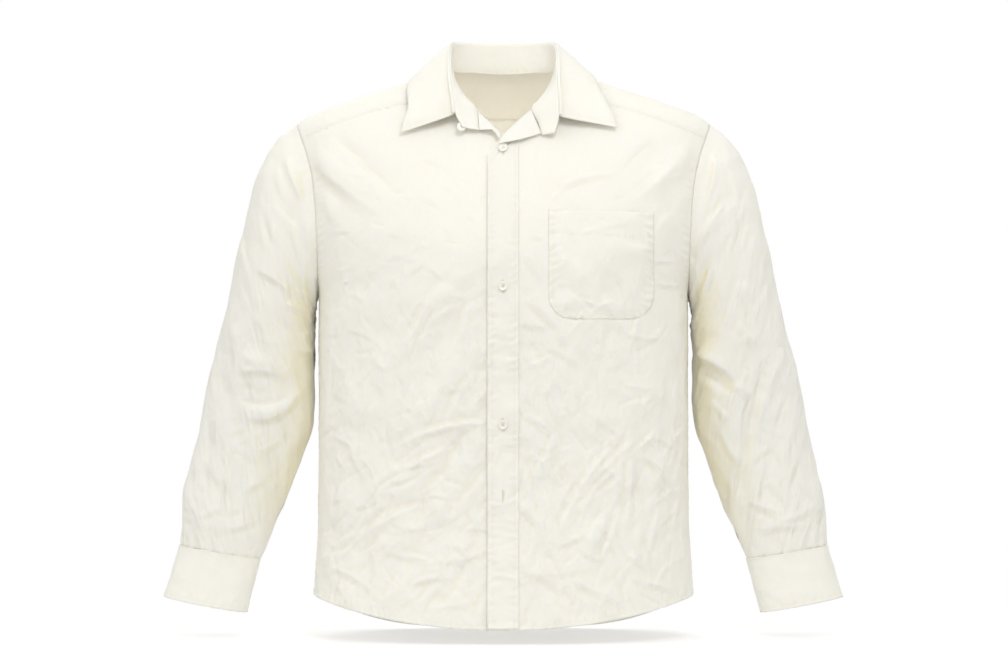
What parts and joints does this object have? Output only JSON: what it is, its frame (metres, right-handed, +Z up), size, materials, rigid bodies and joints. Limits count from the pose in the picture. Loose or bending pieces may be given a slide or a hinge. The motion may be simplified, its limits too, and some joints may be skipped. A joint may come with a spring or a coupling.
{
  "type": "crumpled button-up shirt",
  "caption": "Long-sleeved button-up shirt of pale crumpled cotton, filled out as if worn, with an open collar, a chest pocket and a curved hem.",
  "frame": {"origin": "between the shoulders at the base of the neck, where the wearer's shoulders hold the shirt", "axes": "+X across the shirt to the wearer's left, -Y out of the front, +Z up"},
  "size_m": [0.814, 0.2406, 0.7157],
  "materials": {
    "shirting": "matte",
    "button": "gloss"
  },
  "bodies": {
    "root": {"front_left": "shirting", "front_right": "shirting", "front_turn_left": "shirting", "front_turn_right": "shirting", "placket": "shirting", "pocket": "shirting", "back": "shirting", "yoke": "shirting", "sleeve_left": "shirting", "sleeve_right": "shirting", "sleeve_placket_left": "shirting", "sleeve_placket_right": "shirting", "cuff_left": "shirting", "cuff_right": "shirting", "collar_stand": "shirting", "collar_leaf": "shirting", "button_1": "button", "button_2": "button", "button_3": "button", "collar_button": "button", "cuff_button_left": "button", "cuff_button_right": "button"}
  },
  "joints": []
}
